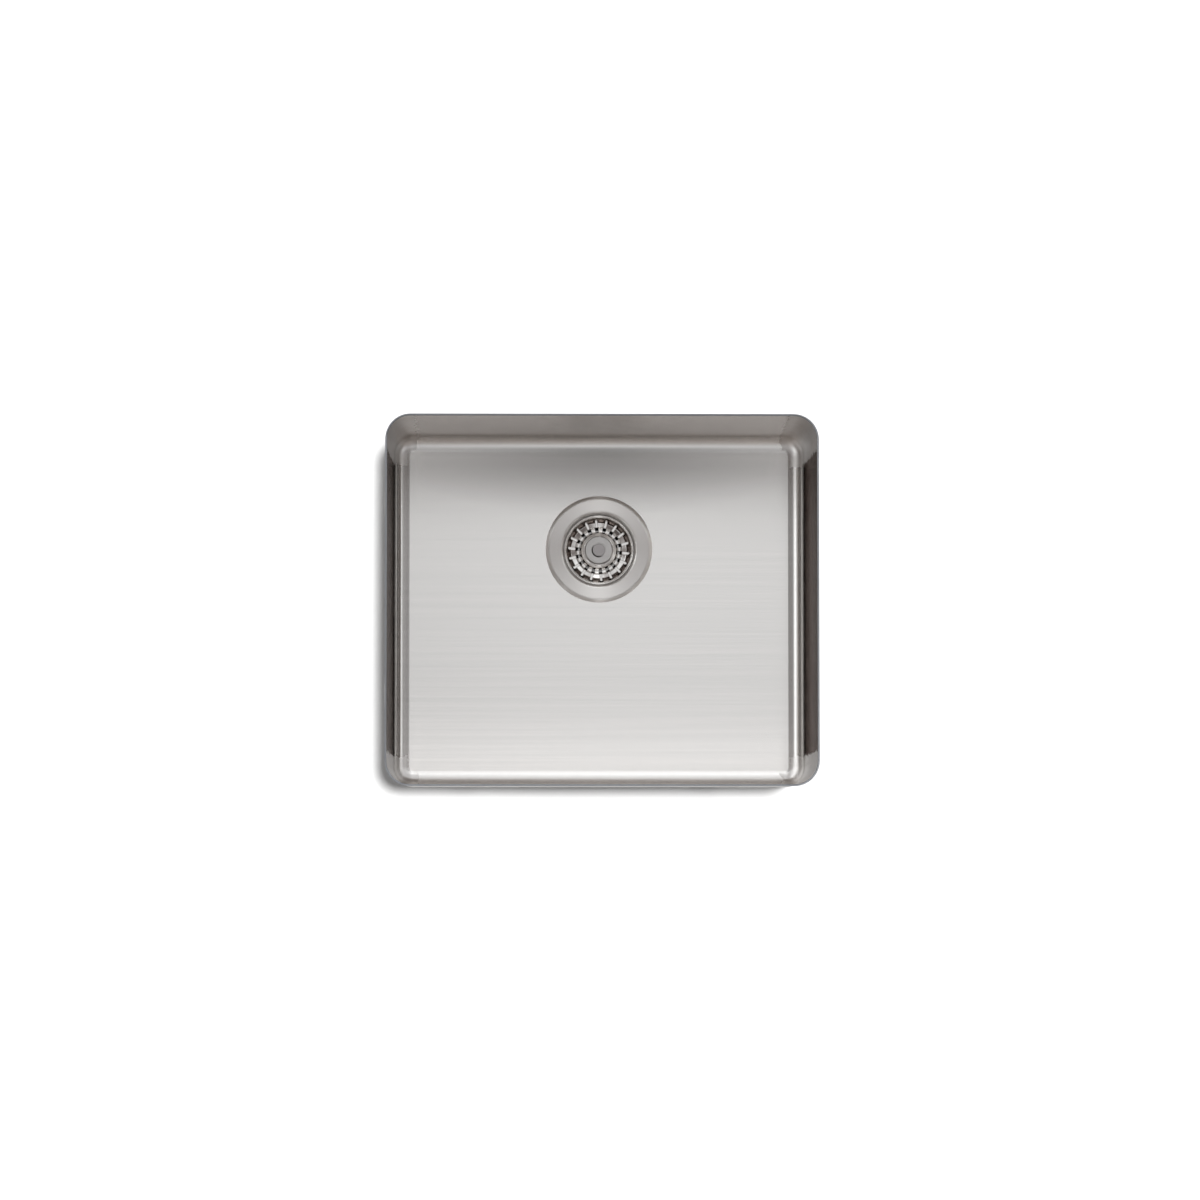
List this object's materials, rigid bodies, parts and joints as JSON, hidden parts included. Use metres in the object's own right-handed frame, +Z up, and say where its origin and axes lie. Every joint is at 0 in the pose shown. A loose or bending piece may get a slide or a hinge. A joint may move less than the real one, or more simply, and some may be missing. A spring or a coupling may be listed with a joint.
{
  "type": "undermount kitchen sink",
  "caption": "Rectangular pressed steel undermount sink bowl with a narrow lip, and a basket waste whose strainer lifts out and whose knob opens and closes the outlet.",
  "frame": {"origin": "middle of the lip's top plane, where the sink meets the underside of the worktop", "axes": "+X to the user's right, +Y to the back, where the waste is, +Z up out of the bowl"},
  "size_m": [0.4528, 0.3888, 0.2927],
  "materials": {
    "bowl_steel": "brushed",
    "pad_steel": "rolled",
    "deadener": "matt",
    "waste_steel": "brushed",
    "seal_foam": "matt",
    "gasket_rubber": "matt",
    "body_plastic": "moulded",
    "insert_brass": "turned",
    "bolt_steel": "turned",
    "washer_fibre": "matt",
    "basket_steel": "polished",
    "guide_brass": "turned",
    "knob_steel": "satin",
    "disc_steel": "satin",
    "stem_steel": "turned",
    "ring_rubber": "smooth",
    "plate_steel": "rolled",
    "stopper_rubber": "smooth",
    "clip_steel": "sprung"
  },
  "bodies": {
    "root": {"sink_bowl": "bowl_steel", "fixing_pad_left_1": "pad_steel", "fixing_pad_left_2": "pad_steel", "fixing_pad_right_1": "pad_steel", "fixing_pad_right_2": "pad_steel", "fixing_pad_front_1": "pad_steel", "fixing_pad_front_2": "pad_steel", "fixing_pad_back_1": "pad_steel", "fixing_pad_back_2": "pad_steel", "sound_pad_left": "deadener", "sound_pad_right": "deadener", "sound_pad_back": "deadener", "sound_pad_floor": "deadener", "waste_flange": "waste_steel", "flange_seal": "seal_foam", "body_gasket": "gasket_rubber", "waste_body": "body_plastic", "bolt_cross": "body_plastic", "bolt_insert": "insert_brass", "centre_bolt": "bolt_steel", "bolt_washer": "washer_fibre"},
    "basket": {"basket": "basket_steel", "stem_guide": "guide_brass"},
    "plunger": {"knob": "knob_steel", "knob_disc": "disc_steel", "plunger_stem": "stem_steel", "stem_ring": "ring_rubber", "stopper_plate": "plate_steel", "stopper_seal": "stopper_rubber", "stopper_washer": "plate_steel", "stopper_clip": "clip_steel"}
  },
  "joints": [
    {"name": "basket_lift", "type": "slide", "parent": "root", "child": "basket", "axis": [0, 0, 1], "range_m": [0, 0.262]},
    {"name": "plunger_pull", "type": "slide", "parent": "basket", "child": "plunger", "axis": [0, 0, 1], "range_m": [0, 0.007]}
  ]
}
